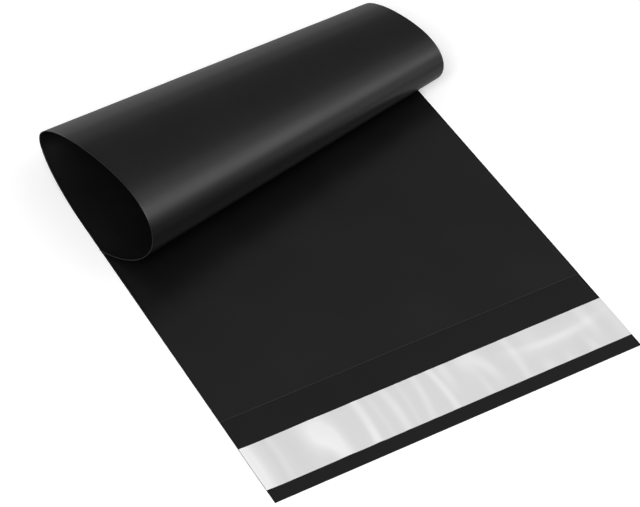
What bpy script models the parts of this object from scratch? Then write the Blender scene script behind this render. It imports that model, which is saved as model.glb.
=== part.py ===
"""A plain poly mailer bag with its flap open and its bottom end rolled loosely back over the front.

One length of film is folded at the bottom and welded up both sides, so the bag is a single solid with
an open mouth. A stripe of glue runs along the flap, under a liner that peels off. The bag is modelled
flat, as it is made, and then rolled without stretching it: the straight lines of the roll all point at
one apex beside the bag, as on a sheet of paper that is rolled into a loose cone.

Metres, +Z up. The origin is on the underside, midway across the mouth. +X runs across the bag and +Y
runs from the mouth to the bottom fold.
"""

import math

import bmesh
import bpy
import numpy as np
from mathutils import Vector
from mathutils.geometry import interpolate_bezier

# Bag
BAG_WIDTH = 0.170
BODY_LENGTH = 0.320  # from the mouth to the bottom fold
FLAP_LENGTH = 0.0463  # past the mouth
FILM = 0.00008  # thickness of one ply
POCKET_GAP = 0.0003  # between the two plies of the empty bag
WELD_WIDTH = 0.0010  # the two plies melted together along each side
BEAD_HEIGHT = 0.0006  # the melted edge stands a little above the plies
BEAD_ROUND = 0.0002
BEAD_PROFILE = 0.5  # a true quarter circle

# Glue and liner on the flap
LINER_WIDTH = 0.0235
LINER_FROM_LIP = 0.0068
LINER = 0.00006
GLUE_WIDTH = 0.0190
GLUE = 0.00008
GLUE_END = 0.0015  # the glue stops this far from each side

# Roll, measured on the plane of the left edge, where it is largest
LIFT_Y = 0.1286  # the film leaves the surface it lies on, this far past the mouth
BACK_REACH = 0.0426  # from the lift to the furthest point behind it
BACK_Z = 0.0156
TOP_AHEAD = 0.0223  # from the lift forwards to the highest point
TOP_Z = 0.0388
FRONT_REACH = 0.0490  # from the lift to the furthest point in front of it
FRONT_Z = 0.0228
CONTACT_AHEAD = 0.0178  # from the lift forwards to where the roll comes down on the bag
APEX_BEHIND = 0.0839  # from the lift back to where the roll's straight lines meet
APEX_PAST_EDGE = 0.3514  # and that point's distance beyond the right edge
TURN_GAP = 0.0003  # between one turn and the next, at the right edge

# How full each quarter turn is towards its corner, at its start and at its end
RISE_PULL = (0.58, 0.52)
OVER_PULL = (0.46, 0.46)
FALL_PULL = (0.61, 0.585)
UNDER_PULL = (0.52, 0.53)

# Facets
QUARTER_STEPS = 16
FOLD_STEPS = 4

PLIES = 2 * FILM + POCKET_GAP
LEFT_X = -BAG_WIDTH / 2
APEX = Vector((BAG_WIDTH / 2 + APEX_PAST_EDGE, LIFT_Y + APEX_BEHIND, 0.0))
TURN_PITCH = (BEAD_HEIGHT + TURN_GAP) * (APEX.x - LEFT_X) / APEX_PAST_EDGE
CUT_MARGIN = 0.005


# Scene

def clear_scene():
    for obj in list(bpy.data.objects):
        bpy.data.objects.remove(obj, do_unlink=True)


def new_collection(name):
    collection = bpy.data.collections.new(name)
    bpy.context.scene.collection.children.link(collection)
    return collection


def new_material(name, colour, roughness, coat=0.0):
    material = bpy.data.materials.new(name)
    material.use_nodes = True
    shader = material.node_tree.nodes["Principled BSDF"]
    shader.inputs["Base Color"].default_value = (*colour, 1.0)
    shader.inputs["Metallic"].default_value = 0.0
    shader.inputs["Roughness"].default_value = roughness
    shader.inputs["Coat Weight"].default_value = coat
    material.diffuse_color = (*colour, 1.0)
    return material


def new_object(name, mesh, collection):
    obj = bpy.data.objects.new(name, mesh)
    collection.objects.link(obj)
    return obj


def mesh_of(bm, name):
    mesh = bpy.data.meshes.new(name)
    bm.to_mesh(mesh)
    bm.free()
    return mesh


# Flat shapes

def box(low, high):
    """A box between two corners."""
    bm = bmesh.new()
    bmesh.ops.create_cube(bm, size=1.0)
    low, high = Vector(low), Vector(high)
    bmesh.ops.scale(bm, vec=high - low, verts=bm.verts)
    bmesh.ops.translate(bm, vec=(low + high) / 2, verts=bm.verts)
    return bm


def folded_block(start_y, end_y, bottom, top, low_x, high_x):
    """A block along Y whose far end is rounded like the fold in a sheet."""
    radius = (top - bottom) / 2
    fold = [(end_y - radius + radius * math.sin(turn), bottom + radius - radius * math.cos(turn))
            for turn in np.linspace(0, math.pi, 2 * FOLD_STEPS + 1)]
    outline = [(start_y, bottom), *fold, (start_y, top)]
    bm = bmesh.new()
    face = bm.faces.new([bm.verts.new((low_x, y, z)) for y, z in outline])
    grown = bmesh.ops.extrude_face_region(bm, geom=[face])["geom"]
    moved = [part for part in grown if isinstance(part, bmesh.types.BMVert)]
    bmesh.ops.translate(bm, vec=(high_x - low_x, 0, 0), verts=moved)
    bmesh.ops.recalc_face_normals(bm, faces=bm.faces)
    return bm


def weld_bead(low_x):
    """The melted edge of both plies: a bar with its upper edges rounded."""
    bm = box((low_x, 0, 0), (low_x + WELD_WIDTH, BODY_LENGTH, BEAD_HEIGHT))
    upper = [edge for edge in bm.edges
             if all(vert.co.z > BEAD_HEIGHT / 2 for vert in edge.verts)
             and abs(edge.verts[0].co.y - edge.verts[1].co.y) > BODY_LENGTH / 2]
    bmesh.ops.bevel(bm, geom=upper, offset=BEAD_ROUND, segments=2, profile=BEAD_PROFILE, affect="EDGES")
    return bm


def combine(obj, tool, operation):
    modifier = obj.modifiers.new(tool.name, "BOOLEAN")
    modifier.operation = operation
    modifier.solver = "EXACT"
    modifier.object = tool


def helper(name, bm, cutters):
    obj = new_object(name, mesh_of(bm, name), cutters)
    obj.hide_render = True
    obj.display_type = "WIRE"
    return obj


def flat_bag(cutters):
    """The folded and welded film, lying flat, as a mesh."""
    inner = BAG_WIDTH / 2 - WELD_WIDTH
    block = folded_block(-FLAP_LENGTH, BODY_LENGTH, 0, PLIES, LEFT_X, -LEFT_X)
    bag = helper("flat_bag", block, cutters)
    over_flap = box((LEFT_X - CUT_MARGIN, -FLAP_LENGTH - CUT_MARGIN, FILM),
                    (-LEFT_X + CUT_MARGIN, 0, PLIES + CUT_MARGIN))
    pocket = folded_block(-CUT_MARGIN, BODY_LENGTH - FILM, FILM, PLIES - FILM, -inner, inner)
    combine(bag, helper("space_over_flap", over_flap, cutters), "DIFFERENCE")
    combine(bag, helper("pocket", pocket, cutters), "DIFFERENCE")
    combine(bag, helper("left_weld", weld_bead(LEFT_X), cutters), "UNION")
    combine(bag, helper("right_weld", weld_bead(inner), cutters), "UNION")
    graph = bpy.context.evaluated_depsgraph_get()
    return bpy.data.meshes.new_from_object(bag.evaluated_get(graph))


# Roll

def quarter(start, end, leaves_level, pull):
    """A quarter turn between two points, one tangent level and the other upright."""
    corner = Vector((end.x, start.y)) if leaves_level else Vector((start.x, end.y))
    handles = start.lerp(corner, pull[0]), end.lerp(corner, pull[1])
    return interpolate_bezier(start, *handles, end, QUARTER_STEPS + 1)[1:]


def roll_turn():
    """One turn of the roll's outer face on the left edge's plane, as (y, z) points from where it lifts."""
    lift = Vector((LIFT_Y, 0))
    back = Vector((LIFT_Y + BACK_REACH, BACK_Z))
    top = Vector((LIFT_Y - TOP_AHEAD, TOP_Z))
    front = Vector((LIFT_Y - FRONT_REACH, FRONT_Z))
    contact = Vector((LIFT_Y - CONTACT_AHEAD, TURN_PITCH))
    points = [lift]
    points += quarter(lift, back, True, RISE_PULL)
    points += quarter(back, top, False, OVER_PULL)
    points += quarter(top, front, True, FALL_PULL)
    points += quarter(front, contact, False, UNDER_PULL)
    return np.array([tuple(point) for point in points])


def inward(points):
    """The direction from each point of a turn to the inside of the roll."""
    along = np.gradient(points, axis=0)
    along[0], along[-1] = (1, 0), (1, 0)
    normal = np.column_stack([-along[:, 1], along[:, 0]])
    return normal / np.linalg.norm(normal, axis=1)[:, None]


def roll_rays(last_angle):
    """The roll's straight lines, each with its angle in the flat film, its direction and its normal."""
    turn = roll_turn()
    normals = inward(turn)
    section = turn
    rays = angles = None
    turns = 1
    while angles is None or angles[-1] < last_angle:
        from_apex = np.column_stack([np.full(len(section), LEFT_X - APEX.x), section[:, 0] - APEX.y, section[:, 1]])
        rays = from_apex / np.linalg.norm(from_apex, axis=1)[:, None]
        steps = 2 * np.arcsin(np.linalg.norm(np.diff(rays, axis=0), axis=1) / 2)
        first = math.atan2(LIFT_Y - APEX.y, APEX.x - LEFT_X)
        angles = first + np.concatenate([[0], np.cumsum(steps)])
        section = np.vstack([section, turn + turns * TURN_PITCH * normals])
        turns += 1
    facets = np.cross(rays[1:], rays[:-1])
    facets /= np.linalg.norm(facets, axis=1)[:, None]
    before = np.vstack([[0, 0, 1], facets])
    after = np.vstack([facets, facets[-1]])
    mitres = (before + after) / (1 + (before * after).sum(axis=1))[:, None]
    return angles, rays, mitres


def flat_angle(x, y):
    """Where a point of the flat film lies round the apex."""
    return math.atan2(y - APEX.y, APEX.x - x)


def cut_along_rays(bm, angles):
    for angle in angles:
        parts = bm.verts[:] + bm.edges[:] + bm.faces[:]
        bmesh.ops.bisect_plane(bm, geom=parts, dist=1e-6, plane_co=APEX,
                               plane_no=(math.sin(angle), math.cos(angle), 0))


def roll_up(bm):
    """Bends the flat film along the rays, keeping every length on it."""
    last_angle = max(flat_angle(vert.co.x, vert.co.y) for vert in bm.verts)
    angles, rays, mitres = roll_rays(last_angle)
    cut_along_rays(bm, angles[angles < last_angle])
    for vert in bm.verts:
        angle = flat_angle(vert.co.x, vert.co.y)
        if angle <= angles[0]:
            continue
        here = min(int(np.searchsorted(angles, angle, side="right")) - 1, len(angles) - 2)
        width = math.sin(angles[here + 1] - angles[here])
        near = math.sin(angles[here + 1] - angle) / width
        far = math.sin(angle - angles[here]) / width
        reach = math.hypot(APEX.x - vert.co.x, vert.co.y - APEX.y)
        direction = near * rays[here] + far * rays[here + 1]
        out = (near * mitres[here] + far * mitres[here + 1]) / (near + far)
        vert.co = APEX + Vector(reach * direction + vert.co.z * out)


# Sub-parts

def film_bag(parts, cutters, film):
    bm = bmesh.new()
    bm.from_mesh(flat_bag(cutters))
    roll_up(bm)
    bag = new_object("film_bag", mesh_of(bm, "film_bag"), parts)
    bag.data.materials.clear()
    bag.data.materials.append(film)
    bag.data.shade_smooth()
    bag.data.set_sharp_from_angle(angle=math.radians(30))


def flap_strip(name, parts, material, centre_y, width, end, bottom, thickness):
    """A flat strip across the flap."""
    bm = box((LEFT_X + end, centre_y - width / 2, bottom),
             (-LEFT_X - end, centre_y + width / 2, bottom + thickness))
    strip = new_object(name, mesh_of(bm, name), parts)
    strip.data.materials.append(material)


def main():
    clear_scene()
    parts = new_collection("poly_mailer_bag")
    cutters = new_collection("helpers")
    film = new_material("black_film", (0.010, 0.010, 0.0105), 0.38)
    glue = new_material("hot_melt_glue", (0.80, 0.76, 0.62), 0.25)
    paper = new_material("liner_film", (0.80, 0.80, 0.81), 0.28, coat=0.4)
    film_bag(parts, cutters, film)
    strip_y = LINER_FROM_LIP + LINER_WIDTH / 2 - FLAP_LENGTH
    flap_strip("glue_strip", parts, glue, strip_y, GLUE_WIDTH, GLUE_END, FILM, GLUE)
    flap_strip("release_liner", parts, paper, strip_y, LINER_WIDTH, 0, FILM + GLUE, LINER)


main()
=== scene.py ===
import math

import bpy
import numpy as np
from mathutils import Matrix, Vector
from mathutils.geometry import interpolate_bezier


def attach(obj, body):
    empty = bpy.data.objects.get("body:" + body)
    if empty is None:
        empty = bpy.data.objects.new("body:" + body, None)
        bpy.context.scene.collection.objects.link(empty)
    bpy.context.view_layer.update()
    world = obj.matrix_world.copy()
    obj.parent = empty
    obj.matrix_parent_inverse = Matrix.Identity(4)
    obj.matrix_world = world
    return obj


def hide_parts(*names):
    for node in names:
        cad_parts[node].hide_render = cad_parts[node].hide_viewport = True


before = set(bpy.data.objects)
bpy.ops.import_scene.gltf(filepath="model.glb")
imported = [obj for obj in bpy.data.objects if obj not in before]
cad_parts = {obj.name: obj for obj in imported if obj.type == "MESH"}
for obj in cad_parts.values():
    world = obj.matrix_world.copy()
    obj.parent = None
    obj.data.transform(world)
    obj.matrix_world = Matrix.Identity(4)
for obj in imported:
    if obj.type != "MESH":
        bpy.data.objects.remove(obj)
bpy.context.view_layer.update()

# A plain black poly mailer: its flap lies open with a white liner over the glue, and its bottom end is
# rolled loosely back over the front. Metres, as in the CAD model.


# Camera, as the photograph was taken

camera = {
    "place": (-0.3568, -0.5717, 0.7373),
    "turn": (44.57, 0.0, -29.03),  # degrees
    "lens": 137.3,
    "sensor": 36.0,
}


def setCamera():
    data = bpy.data.cameras.new("photoCamera")
    data.lens = camera["lens"]
    data.sensor_width = camera["sensor"]
    data.clip_start = 0.01
    data.clip_end = 50
    eye = bpy.data.objects.new("photoCamera", data)
    eye.location = camera["place"]
    eye.rotation_euler = [math.radians(angle) for angle in camera["turn"]]
    bpy.context.scene.collection.objects.link(eye)
    bpy.context.scene.camera = eye


# Small helpers for nodes and meshes

def feed(tree, socket, value):
    # A link where the value is another node's socket, or else the number itself
    if isinstance(value, bpy.types.NodeSocket):
        tree.links.new(value, socket)
    else:
        socket.default_value = value


def addNode(tree, kind, inputs=None, **settings):
    node = tree.nodes.new(kind)
    for name, value in settings.items():
        setattr(node, name, value)
    for name, value in (inputs or {}).items():
        feed(tree, node.inputs[name], value)
    return node


def mathNode(tree, operation, first, second=0.0, third=0.0):
    # One Math node
    return addNode(tree, "ShaderNodeMath", {0: first, 1: second, 2: third}, operation=operation).outputs[0]


def ramp(tree, value, low, high, start=0.0, end=1.0, smooth=False):
    # Maps low..high onto start..end
    node = addNode(tree, "ShaderNodeMapRange", {"Value": value, "From Min": low, "From Max": high,
                                                "To Min": start, "To Max": end})
    if smooth:
        node.interpolation_type = "SMOOTHSTEP"
    return node.outputs["Result"]


def noise(tree, place, scale, detail=2.0, rough=0.5, offset=(0, 0, 0)):
    # A noise texture with its own scale on each axis, in features per metre
    mapping = addNode(tree, "ShaderNodeMapping", {"Vector": place, "Scale": scale, "Location": offset})
    texture = addNode(tree, "ShaderNodeTexNoise", {"Vector": mapping.outputs[0], "Scale": 1.0,
                                                   "Detail": detail, "Roughness": rough})
    return texture.outputs["Fac"]


def newMaterial(name):
    material = bpy.data.materials.new(name)
    material.use_nodes = True
    tree = material.node_tree
    return material, tree, tree.nodes["Principled BSDF"]


def newPiece(name, mesh, material=None):
    piece = bpy.data.objects.new(name, mesh)
    bpy.context.scene.collection.objects.link(piece)
    if material:
        mesh.materials.clear()
        mesh.materials.append(material)
    return piece


def setFlatMap(mesh, name, places):
    # A UV map in metres from each point's place on the flat piece
    layer = mesh.uv_layers.new(name=name)
    corners = np.zeros(len(mesh.loops), int)
    mesh.loops.foreach_get("vertex_index", corners)
    layer.data.foreach_set("uv", places[corners].ravel())


def ease(share):
    # Limits a share to 0..1 and rounds it off at both ends
    share = np.clip(share, 0, 1)
    return share * share * (3 - 2 * share)


def rows(start, end, step):
    # Even steps of about the given size, with both ends
    count = max(1, math.ceil(abs(end - start) / step - 1e-6))
    return list(np.linspace(start, end, count + 1))


def waves(x, y, seed, lengths, count=7):
    # A smooth random height between about -1 and 1, made of a few long waves
    random = np.random.default_rng(seed)
    total = np.zeros(np.broadcast(x, y).shape)
    for _ in range(count):
        turn = random.uniform(0, math.pi)
        length = random.uniform(*lengths)
        phase = random.uniform(0, 2 * math.pi)
        total += np.sin(2 * math.pi * (x * math.cos(turn) + y * math.sin(turn)) / length + phase)
    return total / count * 1.6


# Black film of the bag

bag = {
    "width": 0.170,
    "body": 0.320,  # from the mouth to the bottom fold
    "flap": 0.0463,  # past the mouth
    "film": 0.00008,
    "pocketGap": 0.0003,
    "weld": 0.0010,  # the melted edge along each side
    "bead": 0.0006,  # the room that one turn of the roll needs
    "beadRise": 0.00004,  # how far the melted edge stands up
    "edgeRound": 0.00006,  # and how far it falls again at the very side
    "sideDrop": 0.00017,  # how far the front ply comes down to it
    "sideSlope": 0.012,  # the width over which it does so
    "mouthDrop": 0.00022,  # and how far at the mouth, where it lies on the back ply
    "mouthSlope": 0.025,
    "columnStep": 0.0025,
    "flatStep": 0.0025,
    "rollStep": 0.0017,
    "foldSteps": 8,
    "foldSlope": 0.02,  # the length over which the front ply's swells die away at the fold
    "frontRise": 0.00010,  # how far the front ply stands off in places
    "rollWave": 0.00005,  # and the height of the flutes along the roll
    # the second tone also carries a painted sheen: the back ply, which shows as the roll's outside, is
    # painted a shade paler
    "filmTones": ((0.0038, 0.0038, 0.0040, 1), (0.0058, 0.0058, 0.0061, 1)),
    "flapTone": (0.0028, 0.0028, 0.0030, 1),  # the inner face, which the open flap shows
    "edgeGlintTone": (0.030, 0.030, 0.031, 1),  # painted highlight: the pale line that the cut edges and the mouth catch from the light
    "roughness": (0.30, 0.34),
    "weldGloss": 0.06,  # how much smoother the melted edge is
    "grain": 0.000004,  # depth of the film's fine texture
}

# The roll's section on the plane of the left edge, as (y, z), and where its straight lines meet
roll = {
    "liftY": 0.1286,
    "back": (0.1712, 0.0156),
    "top": (0.1063, 0.0388),
    "front": (0.0796, 0.0228),
    "contactY": 0.1108,
    "pulls": ((0.58, 0.52), (0.46, 0.46), (0.61, 0.585), (0.52, 0.53)),
    "apexY": 0.2125,
    "apexPastEdge": 0.3514,
    "turnGap": 0.0003,
    "steps": 48,  # in each quarter turn
}


def rollSection():
    # Two turns of the roll's outer face, from where it lifts
    leftX = -bag["width"] / 2
    apexX = bag["width"] / 2 + roll["apexPastEdge"]
    pitch = (bag["bead"] + roll["turnGap"]) * (apexX - leftX) / roll["apexPastEdge"]
    stops = [Vector(point) for point in
             ((roll["liftY"], 0), roll["back"], roll["top"], roll["front"], (roll["contactY"], pitch))]
    turn = [stops[0]]
    for index, (first, last) in enumerate(roll["pulls"]):
        start, end = stops[index], stops[index + 1]
        corner = Vector((end.x, start.y)) if index % 2 == 0 else Vector((start.x, end.y))
        turn += interpolate_bezier(start, start.lerp(corner, first), end.lerp(corner, last), end,
                                   roll["steps"] + 1)[1:]
    turn = np.array([tuple(point) for point in turn])
    along = np.gradient(turn, axis=0)
    along[0], along[-1] = (1, 0), (1, 0)
    inward = np.column_stack([-along[:, 1], along[:, 0]])
    inward /= np.linalg.norm(inward, axis=1)[:, None]
    return np.vstack([turn, turn + pitch * inward]), leftX, apexX


def rollPath():
    # The section as seen from the apex, on a sphere of radius 1: equal lengths on it are equal angles of film
    section, leftX, apexX = rollSection()
    rays = np.column_stack([np.full(len(section), leftX - apexX), section[:, 0] - roll["apexY"],
                            section[:, 1]])
    rays /= np.linalg.norm(rays, axis=1)[:, None]
    curve = bpy.data.curves.new("rollPath", "CURVE")
    curve.dimensions = "3D"
    spline = curve.splines.new("POLY")
    spline.points.add(len(rays) - 1)
    spline.points.foreach_set("co", np.column_stack([rays, np.ones(len(rays))]).ravel())
    path = bpy.data.objects.new("rollPath", curve)
    bpy.context.scene.collection.objects.link(path)
    firstAngle = math.atan2(roll["liftY"] - roll["apexY"], apexX - leftX)
    return path, apexX, firstAngle


def rollUpTree():
    # Bends flat film along straight lines that meet at the apex, and stretches it nowhere
    tree = bpy.data.node_groups.new("rollUp", "GeometryNodeTree")
    sockets = tree.interface
    sockets.new_socket("Flat Film", in_out="INPUT", socket_type="NodeSocketGeometry")
    for name in ("Apex X", "Apex Y", "First Angle"):
        sockets.new_socket(name, in_out="INPUT", socket_type="NodeSocketFloat")
    sockets.new_socket("Roll Path", in_out="INPUT", socket_type="NodeSocketObject")
    sockets.new_socket("Film", in_out="INPUT", socket_type="NodeSocketMaterial")
    sockets.new_socket("Rolled Film", in_out="OUTPUT", socket_type="NodeSocketGeometry")
    given = addNode(tree, "NodeGroupInput").outputs
    place = addNode(tree, "GeometryNodeInputPosition").outputs[0]
    split = addNode(tree, "ShaderNodeSeparateXYZ", {0: place}).outputs
    ahead = mathNode(tree, "SUBTRACT", given["Apex X"], split["X"])
    aside = mathNode(tree, "SUBTRACT", split["Y"], given["Apex Y"])
    angle = mathNode(tree, "SUBTRACT", mathNode(tree, "ARCTAN2", aside, ahead), given["First Angle"])
    squares = mathNode(tree, "MULTIPLY_ADD", ahead, ahead, mathNode(tree, "MULTIPLY", aside, aside))
    reach = mathNode(tree, "SQRT", squares)
    path = addNode(tree, "GeometryNodeObjectInfo", {"Object": given["Roll Path"]})
    ray = addNode(tree, "GeometryNodeSampleCurve", {"Curves": path.outputs["Geometry"], "Length": angle},
                  mode="LENGTH")
    direction = addNode(tree, "ShaderNodeVectorMath", {0: ray.outputs["Position"]}, operation="NORMALIZE")
    across = addNode(tree, "ShaderNodeVectorMath", {0: ray.outputs["Tangent"], 1: direction.outputs[0]},
                     operation="CROSS_PRODUCT")
    normal = addNode(tree, "ShaderNodeVectorMath", {0: across.outputs[0]}, operation="NORMALIZE")
    apex = addNode(tree, "ShaderNodeCombineXYZ", {"X": given["Apex X"], "Y": given["Apex Y"]})
    onRay = addNode(tree, "ShaderNodeVectorMath", {0: direction.outputs[0], "Scale": reach},
                    operation="SCALE")
    offFilm = addNode(tree, "ShaderNodeVectorMath", {0: normal.outputs[0], "Scale": split["Z"]},
                      operation="SCALE")
    onCone = addNode(tree, "ShaderNodeVectorMath", {0: apex.outputs[0], 1: onRay.outputs[0]},
                     operation="ADD")
    rolled = addNode(tree, "ShaderNodeVectorMath", {0: onCone.outputs[0], 1: offFilm.outputs[0]},
                     operation="ADD")
    beyond = mathNode(tree, "GREATER_THAN", angle, 0.0)
    chosen = addNode(tree, "GeometryNodeSwitch", {"Switch": beyond, "False": place,
                                                  "True": rolled.outputs[0]}, input_type="VECTOR")
    moved = addNode(tree, "GeometryNodeSetPosition", {"Geometry": given["Flat Film"],
                                                      "Position": chosen.outputs[0]})
    real = addNode(tree, "GeometryNodeRealizeInstances", {0: moved.outputs[0]})
    named = addNode(tree, "GeometryNodeSetMaterial", {"Geometry": real.outputs[0], "Material": given["Film"]})
    out = addNode(tree, "NodeGroupOutput")
    tree.links.new(named.outputs[0], out.inputs["Rolled Film"])
    return tree


def beadHeight(inset):
    # How far the melted edge stands above the plies, by the distance in from the side
    share = np.clip(inset / bag["weld"], 0, 1)
    hump = np.sin(math.pi * share) * bag["beadRise"]
    return hump - bag["edgeRound"] * np.exp(-share * 9)


def frontHeight(x, y):
    # How far the loose front ply lies above or below its even height
    side = ease((bag["width"] / 2 - bag["weld"] - np.abs(x)) / bag["sideSlope"])
    mouth = ease(y / bag["mouthSlope"])
    fold = np.clip((bag["body"] - y) / bag["foldSlope"], 0, 1)
    swell = 0.25 + 0.6 * waves(x, y, 11, (0.045, 0.12)) + 0.25 * waves(x, y, 12, (0.018, 0.03))
    lip = 0.15 * waves(x, 0 * y, 13, (0.025, 0.07))
    rise = bag["frontRise"] * side * (mouth * fold * swell + (1 - mouth) * lip)
    return rise - np.maximum(bag["sideDrop"] * (1 - side), bag["mouthDrop"] * (1 - mouth))


def rollRipple(x, y, firstAngle, apexX):
    # Faint flutes along the roll's straight lines, none of them where the bag lies flat
    angle = np.arctan2(y - roll["apexY"], apexX - x) - firstAngle
    reach = np.hypot(apexX - x, y - roll["apexY"])
    start = np.clip((angle - 0.02) / 0.05, 0, 1)
    return bag["rollWave"] * start * waves(angle, 0.02 * reach, 21, (0.012, 0.05), 9)


def flatFilm(firstAngle, apexX):
    # The folded and welded film before it is rolled: both faces of both plies, joined at every edge
    half = bag["width"] / 2
    film = bag["film"]
    plies = 2 * film + bag["pocketGap"]
    radius = plies / 2
    foldY = bag["body"] - radius
    insets = np.array([0, 0.00006, 0.00014, 0.0003, 0.0005, 0.0007, 0.00086, 0.0010])
    inner = rows(-half + bag["weld"], half - bag["weld"], bag["columnStep"])
    xs = np.array([*(-half + insets[:-1]), *inner, *(half - insets[:-1][::-1])])
    first, last = len(insets) - 1, len(xs) - len(insets)
    lipY = -bag["flap"]
    flapYs = [lipY, lipY + 0.0002, *rows(lipY + 0.0012, -0.0012, bag["flatStep"]), -0.0002]
    bodyYs = [0.0, 0.0002, *rows(0.0012, 0.075, bag["flatStep"]), *rows(0.075, foldY, bag["rollStep"])[1:]]
    arc = np.linspace(0, math.pi, bag["foldSteps"] + 1)[1:-1]
    points, flatPlace, faces = [], [], []

    def addRow(y, z, along, outer, ply):
        # One row of points across the film; the return value numbers its first point
        here = np.full(len(xs), float(y))
        height = np.full(len(xs), float(z)) + rollRipple(xs, here, firstAngle, apexX)
        lump = 1 + 0.12 * waves(xs * 0 + along, here * 0, 31, (0.004, 0.02))
        if ply > 0:
            inset = half - np.abs(xs)
            height += ply * frontHeight(xs, here)
            if outer:
                height += ply * beadHeight(inset) * lump
        start = len(points)
        points.extend(zip(xs, here, height))
        flatPlace.extend((x, along) for x in xs)
        return start

    def strip(low, high, begin=0, end=None, flip=False):
        # Faces between two rows of points
        for column in range(begin, len(xs) - 1 if end is None else end):
            face = (low + column, low + column + 1, high + column + 1, high + column)
            faces.append(face[::-1] if flip else face)

    topAlong = foldY + math.pi * radius
    under = [addRow(y, 0, y, True, 0) for y in [*flapYs, *bodyYs]]
    around = [addRow(foldY + radius * math.sin(a), radius - radius * math.cos(a), foldY + radius * a, True,
                     (1 - math.cos(a)) / 2) for a in arc]
    over = [addRow(y, plies, topAlong + foldY - y, True, 1) for y in bodyYs[::-1]]
    outside = under + around + over
    for low, high in zip(outside, outside[1:]):
        strip(low, high, flip=True)

    small = radius - film
    ceiling = [addRow(y, plies - film, topAlong + foldY - y, False, 1) for y in bodyYs]
    innerArc = [addRow(foldY + small * math.sin(a), radius - small * math.cos(a), foldY + radius * a, False,
                       (1 - math.cos(a)) / 2) for a in arc[::-1]]
    floor = [addRow(y, film, y, False, 0) for y in bodyYs[::-1]]
    pocket = ceiling + innerArc + floor
    for low, high in zip(pocket, pocket[1:]):
        strip(low, high, first, last, flip=True)
    flapTop = [floor[-1]] + [addRow(y, film, y, False, 0) for y in flapYs[::-1]]
    for low, high in zip(flapTop, flapTop[1:]):
        strip(low, high, flip=True)

    mouthTop, mouthCeiling, mouthFloor = over[-1], ceiling[0], floor[-1]
    strip(mouthTop, mouthCeiling, first, last, flip=True)
    strip(mouthTop, mouthFloor, 0, first - 1, flip=True)
    strip(mouthTop, mouthFloor, last + 1, flip=True)
    faces.append((mouthTop + first - 1, mouthFloor + first - 1, mouthFloor + first, mouthCeiling + first,
                  mouthTop + first))
    faces.append((mouthTop + last, mouthCeiling + last, mouthFloor + last, mouthFloor + last + 1,
                  mouthTop + last + 1))
    strip(flapTop[-1], under[0], flip=True)

    end = len(xs) - 1
    underBody = under[len(flapYs):]
    overBody = over[::-1]
    underFlap = under[:len(flapYs) + 1]
    topFlap = flapTop[::-1]
    for column, flip in ((0, False), (end, True)):
        walls = [(underBody[i] + column, overBody[i] + column, overBody[i + 1] + column,
                  underBody[i + 1] + column) for i in range(1, len(bodyYs) - 1)]
        walls += [(underFlap[i] + column, topFlap[i] + column, topFlap[i + 1] + column,
                   underFlap[i + 1] + column) for i in range(len(flapYs))]
        walls.append((underBody[0] + column, mouthFloor + column, overBody[0] + column, overBody[1] + column,
                      underBody[1] + column))
        walls.append([row + column for row in [underBody[-1], overBody[-1], *around[::-1]]])
        faces.extend([tuple(wall)[::-1] if flip else tuple(wall) for wall in walls])
    floorBody = floor[::-1]
    for column, flip in ((first, True), (last, False)):
        walls = [(floorBody[i] + column, ceiling[i] + column, ceiling[i + 1] + column,
                  floorBody[i + 1] + column) for i in range(len(bodyYs) - 1)]
        walls.append([row + column for row in [floorBody[-1], ceiling[-1], *innerArc]])
        faces.extend([tuple(wall)[::-1] if flip else tuple(wall) for wall in walls])

    used = sorted({index for face in faces for index in face})
    renumbered = dict(zip(used, range(len(used))))
    mesh = bpy.data.meshes.new("flatFilm")
    mesh.from_pydata([points[index] for index in used], [],
                     [[renumbered[index] for index in face] for face in faces])
    setFlatMap(mesh, "alongFilm", np.array(flatPlace)[used])
    return mesh


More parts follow.
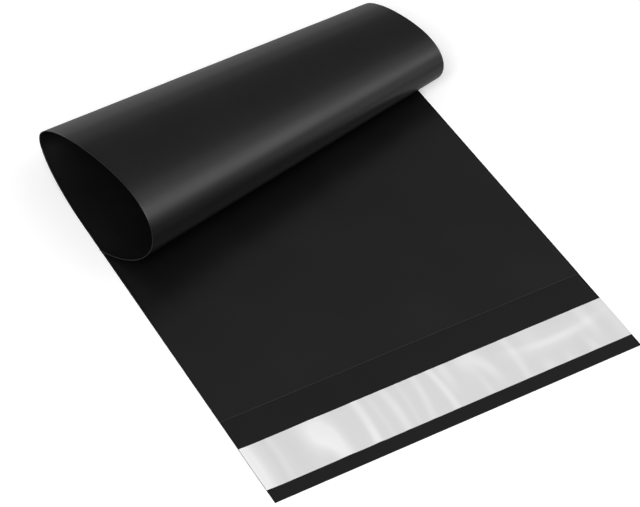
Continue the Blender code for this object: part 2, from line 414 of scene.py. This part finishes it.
def blackFilm():
    # Satin black polyethylene: cloudy gloss, faint streaks along the web and a fine grain; the cut edges and
    # the mouth carry a painted highlight, and the back ply a painted sheen that makes it a shade paler
    material, tree, shader = newMaterial("blackFilm")
    place = addNode(tree, "ShaderNodeUVMap", uv_map="alongFilm").outputs[0]
    split = addNode(tree, "ShaderNodeSeparateXYZ", {0: place}).outputs
    cloud = noise(tree, place, (34, 22, 1), 3.0)
    streak = noise(tree, place, (420, 5, 1), 3.0, 0.6, (3, 0, 0))
    grain = noise(tree, place, (2600, 2600, 1), 2.0, 0.7)
    side = mathNode(tree, "SUBTRACT", bag["width"] / 2, mathNode(tree, "ABSOLUTE", split["X"]))
    lip = mathNode(tree, "ADD", split["Y"], bag["flap"])
    mouthAt = 2 * bag["body"] + (math.pi - 2) * (bag["film"] + bag["pocketGap"] / 2)
    mouth = mathNode(tree, "ABSOLUTE", mathNode(tree, "SUBTRACT", mouthAt, split["Y"]))
    # Painted highlight: a pale line along the cut sides and the lip, and a wider one along the mouth, for the
    # light these edges catch
    pale = ramp(tree, mathNode(tree, "MINIMUM", side, lip), 0.00002, 0.00008, 1.0, 0.0, smooth=True)
    pale = mathNode(tree, "MAXIMUM", pale, ramp(tree, mouth, 0.0001, 0.0004, 1.0, 0.0, smooth=True))
    inside = ramp(tree, split["Y"], -0.0002, 0.0, 1.0, 0.0)
    fold = bag["body"]
    # Painted sheen: the back ply, the roll's outside, is painted a shade paler than the front ply, so the
    # roll reads a little brighter than the flat panel
    behind = mathNode(tree, "MULTIPLY", ramp(tree, split["Y"], 0.02, 0.10),
                      ramp(tree, split["Y"], fold - 0.010, fold + 0.002, 1.0, 0.0))
    weld = ramp(tree, side, bag["weld"] * 0.8, bag["weld"], 1.0, 0.0, smooth=True)
    tone = addNode(tree, "ShaderNodeMix", {"Factor": mathNode(tree, "ADD", cloud, behind),
                                           6: bag["filmTones"][0], 7: bag["filmTones"][1]},
                   data_type="RGBA", clamp_factor=False)
    dim = addNode(tree, "ShaderNodeMix", {"Factor": inside, 6: tone.outputs[2], 7: bag["flapTone"]},
                  data_type="RGBA")
    edgeGlintMix = addNode(tree, "ShaderNodeMix", {"Factor": pale, 6: dim.outputs[2], 7: bag["edgeGlintTone"]},
                  data_type="RGBA")
    tree.links.new(edgeGlintMix.outputs[2], shader.inputs["Base Color"])
    rough = mathNode(tree, "ADD", ramp(tree, cloud, 0.3, 0.7, *bag["roughness"]),
                     ramp(tree, streak, 0.3, 0.7, -0.015, 0.015))
    rough = mathNode(tree, "MULTIPLY_ADD", weld, -bag["weldGloss"], rough)
    tree.links.new(rough, shader.inputs["Roughness"])
    shader.inputs["IOR"].default_value = 1.5
    shader.inputs["Specular IOR Level"].default_value = 0.45
    relief = mathNode(tree, "MULTIPLY_ADD", grain, 0.35, streak)
    bump = addNode(tree, "ShaderNodeBump", {"Height": relief, "Strength": 1.0, "Distance": bag["grain"]})
    tree.links.new(bump.outputs[0], shader.inputs["Normal"])
    return material


def makeBag():
    path, apexX, firstAngle = rollPath()
    material = blackFilm()
    flat = newPiece("flatFilm", flatFilm(firstAngle, apexX), material)
    tree = rollUpTree()
    modifier = flat.modifiers.new("rollUp", "NODES")
    modifier.node_group = tree
    values = {"Apex X": apexX, "Apex Y": roll["apexY"], "First Angle": firstAngle, "Roll Path": path,
              "Film": material}
    for socket in tree.interface.items_tree:
        if socket.name in values:
            modifier[socket.identifier] = values[socket.name]
    graph = bpy.context.evaluated_depsgraph_get()
    mesh = bpy.data.meshes.new_from_object(flat.evaluated_get(graph))
    mesh.name = "filmBag"
    bpy.data.objects.remove(flat)
    bpy.data.objects.remove(path)
    mesh.shade_smooth()
    mesh.set_sharp_from_angle(angle=math.radians(38))
    piece = newPiece("filmBag", mesh)
    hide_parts("film_bag")
    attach(piece, "root")
    print("film bag:", len(mesh.polygons), "faces")


# Glue and liner on the flap

strips = {
    "centreY": 0.0068 + 0.0235 / 2 - 0.0463,
    "glueWidth": 0.0190,
    "glueEnd": 0.0015,
    "glue": 0.00008,
    "linerWidth": 0.0235,
    "liner": 0.00006,
    "step": 0.0006,
    "fullLift": 0.00022,  # the ripple height at which the liner is at its whitest, partly from standing off the glue and partly as a painted highlight
    "pressed": 0.00003,  # and the depth at which it is at its greyest
    "uneven": 0.000012,  # how far it wavers where it lies flat
    "linerTones": ((0.712, 0.712, 0.712, 1), (0.92, 0.92, 0.92, 1)),
    "linerGrain": 0.000001,
    "glueTones": ((0.72, 0.68, 0.52, 1), (0.84, 0.80, 0.66, 1)),
    "glueStreak": 0.00002,  # depth of the coating streaks
}

# Ripples of the loose liner: how far they are along it and across it as shares, their turn from straight
# across in degrees, and their length, width and height in millimetres. Where it is pressed down the height
# is negative.
ripples = [
    (0.000, 0.50, 0, 80, 10.0, 0.30),
    (0.059, 0.50, 3, 70, 2.4, -0.03),
    (0.077, 0.40, 2, 50, 2.6, 0.045),
    (0.115, 0.50, 0, 70, 8.0, -0.025),
    (0.192, 0.56, 0, 13, 12.5, 0.21),
    (0.184, 0.92, 0, 18, 13.0, 0.13),
    (0.212, 0.16, -8, 26, 7.5, 0.20),
    (0.304, 0.50, 4, 70, 3.8, 0.15),
    (0.301, 0.12, 3, 14, 3.4, 0.07),
    (0.342, 0.50, 1, 50, 2.4, 0.045),
    (0.383, 0.42, 2, 44, 3.8, 0.12),
    (0.419, 0.55, 4, 45, 2.0, 0.05),
    (0.459, 0.50, 8, 60, 3.2, 0.10),
    (0.514, 0.48, -1, 70, 3.2, 0.15),
    (0.541, 0.85, 0, 20, 4.4, 0.10),
    (0.605, 0.92, 0, 16, 10.0, 0.13),
    (0.641, 0.55, -12, 16, 4.6, 0.11),
    (0.608, 0.14, 3, 16, 2.8, 0.065),
    (0.672, 0.75, 0, 17, 5.0, -0.02),
    (0.716, 0.50, 3, 70, 3.6, 0.095),
    (0.835, 0.58, 89, 36, 3.8, 0.11),
    (0.825, 0.56, 88, 50, 8.5, 0.05),
    (0.775, 0.88, 0, 15, 9.0, 0.045),
    (0.930, 0.75, -4, 24, 4.6, 0.085),
    (0.775, 0.00, 0, 11, 5.4, 0.09),
    (0.830, 0.00, 0, 9, 3.8, 0.07),
    (0.901, 0.04, 0, 13, 4.0, 0.085),
    (0.871, 0.22, 0, 11, 5.0, -0.02),
    (0.958, 0.50, 0, 70, 4.4, -0.01),
    (0.992, 0.50, 0, 70, 5.0, 0.05),
]


def slab(xs, ys, bottom, top, uvName):
    # A closed sheet whose two faces follow the given heights
    wide, long = len(xs), len(ys)
    gridX, gridY = np.meshgrid(xs, ys)
    lower = np.column_stack([gridX.ravel(), gridY.ravel(), bottom.ravel()])
    upper = np.column_stack([gridX.ravel(), gridY.ravel(), top.ravel()])
    base = wide * long
    faces = []
    for j in range(long - 1):
        for i in range(wide - 1):
            a = j * wide + i
            face = (a, a + 1, a + wide + 1, a + wide)
            faces.append(face[::-1])
            faces.append(tuple(index + base for index in face))
    ring = [*range(wide), *(j * wide + wide - 1 for j in range(1, long)),
            *(base - 1 - i for i in range(1, wide)), *(j * wide for j in range(long - 2, 0, -1))]
    for a, b in zip(ring, ring[1:] + ring[:1]):
        faces.append((a, b, b + base, a + base))
    mesh = bpy.data.meshes.new(uvName)
    mesh.from_pydata(np.vstack([lower, upper]).tolist(), [], faces)
    setFlatMap(mesh, uvName, np.tile(np.column_stack([gridX.ravel(), gridY.ravel()]), (2, 1)))
    mesh.shade_smooth()
    mesh.set_sharp_from_angle(angle=math.radians(38))
    return mesh


def rippleHeight(x, y):
    # Height of the liner's ripples above the glue
    width, across = bag["width"], strips["linerWidth"]
    total = np.zeros(x.shape)
    for along, side, turn, long, wide, high in ripples:
        dx = x + width / 2 - along * width
        dy = y - strips["centreY"] - (side - 0.5) * across
        lean = math.radians(turn)
        ahead = dx * math.sin(lean) + dy * math.cos(lean)
        bend = dx * math.cos(lean) - dy * math.sin(lean) + 5 * ahead * ahead
        total += high * 0.001 * np.exp(-(2000 * ahead / long) ** 2 - np.abs(2000 * bend / wide) ** 2.6)
    return total


def linerFilm():
    # Glossy white release film, a little greyer where it lies tight on the glue and whiter where it stands
    # off it; the whiter ripple crests are partly a painted highlight
    material, tree, shader = newMaterial("linerFilm")
    place = addNode(tree, "ShaderNodeUVMap", uv_map="alongLiner").outputs[0]
    lift = addNode(tree, "ShaderNodeAttribute", attribute_name="lift").outputs["Fac"]
    patch = noise(tree, place, (50, 70, 1), 1.0)
    grain = noise(tree, place, (1800, 1800, 1), 2.0)
    # The lift share whitens the ripple crests: partly the film standing off the glue, partly a painted
    # highlight
    liftAndGlint = mathNode(tree, "MULTIPLY_ADD", patch, 0.05, lift)
    tone = addNode(tree, "ShaderNodeMix", {"Factor": liftAndGlint, 6: strips["linerTones"][0],
                                           7: strips["linerTones"][1]}, data_type="RGBA")
    tree.links.new(tone.outputs[2], shader.inputs["Base Color"])
    tree.links.new(ramp(tree, patch, 0.1, 0.9, 0.285, 0.32), shader.inputs["Roughness"])
    shader.inputs["Coat Weight"].default_value = 0.6
    shader.inputs["Coat Roughness"].default_value = 0.16
    bump = addNode(tree, "ShaderNodeBump", {"Height": grain, "Strength": 1.0,
                                            "Distance": strips["linerGrain"]})
    tree.links.new(bump.outputs[0], shader.inputs["Normal"])
    return material


def hotMeltGlue():
    # Clear tacky glue with coating streaks
    material, tree, shader = newMaterial("hotMeltGlue")
    place = addNode(tree, "ShaderNodeUVMap", uv_map="alongGlue").outputs[0]
    streak = noise(tree, place, (14, 900, 1), 3.0)
    tone = addNode(tree, "ShaderNodeMix", {"Factor": streak, 6: strips["glueTones"][0],
                                           7: strips["glueTones"][1]}, data_type="RGBA")
    tree.links.new(tone.outputs[2], shader.inputs["Base Color"])
    tree.links.new(ramp(tree, streak, 0.3, 0.7, 0.16, 0.30), shader.inputs["Roughness"])
    bump = addNode(tree, "ShaderNodeBump", {"Height": streak, "Strength": 1.0,
                                            "Distance": strips["glueStreak"]})
    tree.links.new(bump.outputs[0], shader.inputs["Normal"])
    return material


def makeStrips():
    half = bag["width"] / 2
    low, high = strips["centreY"] - strips["linerWidth"] / 2, strips["centreY"] + strips["linerWidth"] / 2
    xs, ys = np.array(rows(-half, half, strips["step"])), np.array(rows(low, high, strips["step"]))
    x, y = np.meshgrid(xs, ys)
    ripple = rippleHeight(x, y)
    uneven = strips["uneven"] * (1 + waves(x, y, 41, (0.008, 0.03)))
    base = bag["film"] + strips["glue"] + np.maximum(ripple, 0) + uneven
    mesh = slab(xs, ys, base, base + strips["liner"], "alongLiner")
    # The lift share sets the liner's tone: greyer where pressed on the glue, whiter on the crests, partly as
    # a painted highlight
    lift = np.clip((ripple.ravel() + strips["pressed"]) / (strips["fullLift"] + strips["pressed"]), 0, 1)
    mesh.attributes.new("lift", "FLOAT", "POINT").data.foreach_set("value", np.tile(lift, 2))
    liner = newPiece("releaseLiner", mesh, linerFilm())
    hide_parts("release_liner")
    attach(liner, "root")

    end = half - strips["glueEnd"]
    glueHalf = strips["glueWidth"] / 2
    xs = np.array(rows(-end, end, 0.002))
    shares = np.array([-1, -0.985, -0.95, -0.6, -0.2, 0.2, 0.6, 0.95, 0.985, 1])
    x, share = np.meshgrid(xs, shares)
    y = strips["centreY"] + share * glueHalf
    crown = strips["glue"] * np.clip((1 - np.abs(share)) / 0.05, 0.25, 1) ** 0.5
    mesh = slab(xs, strips["centreY"] + shares * glueHalf, np.full(x.shape, bag["film"]), bag["film"] + crown,
                "alongGlue")
    glue = newPiece("glueStrip", mesh, hotMeltGlue())
    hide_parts("glue_strip")
    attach(glue, "root")
    print("liner and glue:", len(liner.data.polygons) + len(mesh.polygons), "faces")


# Floor, backdrop and lights

studio = {
    "floorSize": 6.0,
    "floorDrop": 0.0001,  # keeps the floor from touching the film
    "floorColour": (0.86, 0.86, 0.86, 1),
    "glossNear": (0.75, 0.75, 0.75, 1),  # what the film's gloss shows of the floor beside and behind the roll
    "glossFar": (0.08, 0.08, 0.08, 1),  # and elsewhere
    "nearPlace": (0.125, 0.08, 0),  # the middle of the part beside the roll
    "floorLift": 0.30,  # added to what the camera sees of the floor, and more further out
    "worldFill": 0.45,  # what the surroundings give to matt surfaces
    "sideGloss": 0.35,  # how far the band below fades straight to the left and right
}

# How bright a gloss shows the surroundings, by degrees from the front horizon over the top to the back one
skyBand = [
    (0, 0.03), (12, 0.08), (24, 0.18), (36, 0.49), (50, 0.96), (64, 1.08), (78, 1.02), (92, 1.00),
    (104, 0.84), (115, 0.55), (123, 0.275), (130, 0.21), (137, 0.205), (144, 0.165), (150, 0.085),
    (160, 0.075), (167, 0.13), (172, 0.24), (180, 0.80),
]

# Soft lamps: place, what they face, size in metres and power in watts
lamps = [
    ("keyLamp", (-0.9, -1.0, 1.5), (0, 0.05, 0), 0.9, 24.0),
    ("sideLamp", (1.03, -0.30, 1.30), (0, 0.05, 0), 0.8, 3.0),
    ("fillCard", (0.30, -0.07, 0.065), (0.085, 0.09, 0.02), 0.16, 0.065),
]


def setFloor():
    size = studio["floorSize"] / 2
    mesh = bpy.data.meshes.new("floor")
    corners = [(-size, -size), (size, -size), (size, size), (-size, size)]
    mesh.from_pydata([(x, y, -studio["floorDrop"]) for x, y in corners], [], [(0, 1, 2, 3)])
    material, tree, shader = newMaterial("paleFloor")
    shader.inputs["Roughness"].default_value = 0.9
    shader.inputs["Specular IOR Level"].default_value = 0.1
    ray = addNode(tree, "ShaderNodeLightPath").outputs
    place = addNode(tree, "ShaderNodeTexCoord").outputs["Object"]
    away = addNode(tree, "ShaderNodeVectorMath", {0: place, 1: studio["nearPlace"]},
                   operation="DISTANCE")
    back = addNode(tree, "ShaderNodeSeparateXYZ", {0: place}).outputs["Y"]
    near = mathNode(tree, "MAXIMUM", ramp(tree, away.outputs["Value"], 0.03, 0.11, 1.0, 0.0),
                    ramp(tree, back, 0.12, 0.30, 0.0, 0.82))
    gloss = addNode(tree, "ShaderNodeMix", {"Factor": near, 6: studio["glossFar"], 7: studio["glossNear"]},
                    data_type="RGBA")
    colour = addNode(tree, "ShaderNodeMix", {"Factor": ray["Is Glossy Ray"], 6: studio["floorColour"],
                                             7: gloss.outputs[2]}, data_type="RGBA")
    tree.links.new(colour.outputs[2], shader.inputs["Base Color"])
    seen = mathNode(tree, "MAXIMUM", ray["Is Camera Ray"], ray["Is Transmission Ray"])
    out = addNode(tree, "ShaderNodeVectorMath", {0: place}, operation="LENGTH")
    lift = ramp(tree, out.outputs["Value"], 0.4, 1.4, studio["floorLift"], 1.0)
    shader.inputs["Emission Color"].default_value = (1, 1, 1, 1)
    tree.links.new(mathNode(tree, "MULTIPLY", seen, lift), shader.inputs["Emission Strength"])
    floor = newPiece("floor", mesh, material)


def setWorld():
    world = bpy.data.worlds.new("studio")
    world.use_nodes = True
    bpy.context.scene.world = world
    tree = world.node_tree
    background = tree.nodes["Background"]
    ray = addNode(tree, "ShaderNodeLightPath").outputs
    direction = addNode(tree, "ShaderNodeTexCoord").outputs["Generated"]
    split = addNode(tree, "ShaderNodeSeparateXYZ", {0: direction})
    ahead = mathNode(tree, "MULTIPLY", split.outputs["Y"], -1.0)
    over = mathNode(tree, "ARCTAN2", mathNode(tree, "MAXIMUM", split.outputs["Z"], 0.0), ahead)
    band = addNode(tree, "ShaderNodeValToRGB", {0: mathNode(tree, "DIVIDE", over, math.pi)})
    stops = band.color_ramp.elements
    for number, (degrees, bright) in enumerate(skyBand):
        stop = stops[number] if number < 2 else stops.new(1.0)
        stop.position = degrees / 180
        stop.color = (bright, bright, bright, 1)
    aside = ramp(tree, mathNode(tree, "ABSOLUTE", split.outputs["X"]), 0.82, 0.96, 1.0, studio["sideGloss"])
    gloss = mathNode(tree, "MULTIPLY", band.outputs["Color"], aside)
    glossy = mathNode(tree, "MAXIMUM", ray["Is Glossy Ray"], ray["Is Transmission Ray"])
    matt = mathNode(tree, "MULTIPLY", studio["worldFill"], mathNode(tree, "SUBTRACT", 1.0, glossy))
    strength = mathNode(tree, "MULTIPLY_ADD", gloss, glossy, matt)
    notSeen = mathNode(tree, "SUBTRACT", 1.0, ray["Is Camera Ray"])
    strength = mathNode(tree, "MULTIPLY_ADD", strength, notSeen, ray["Is Camera Ray"])
    background.inputs["Color"].default_value = (1, 1, 1, 1)
    tree.links.new(strength, background.inputs["Strength"])


def setLamps():
    for name, place, target, size, power in lamps:
        light = bpy.data.lights.new(name, "AREA")
        light.size = size
        light.energy = power
        lamp = bpy.data.objects.new(name, light)
        lamp.visible_camera = False
        lamp.location = place
        lamp.rotation_euler = (Vector(target) - Vector(place)).to_track_quat("-Z", "Y").to_euler()
        bpy.context.scene.collection.objects.link(lamp)


setCamera()
makeBag()
makeStrips()
setFloor()
setWorld()
setLamps()
bpy.context.scene.view_settings.view_transform = "Standard"
print("studio: done")
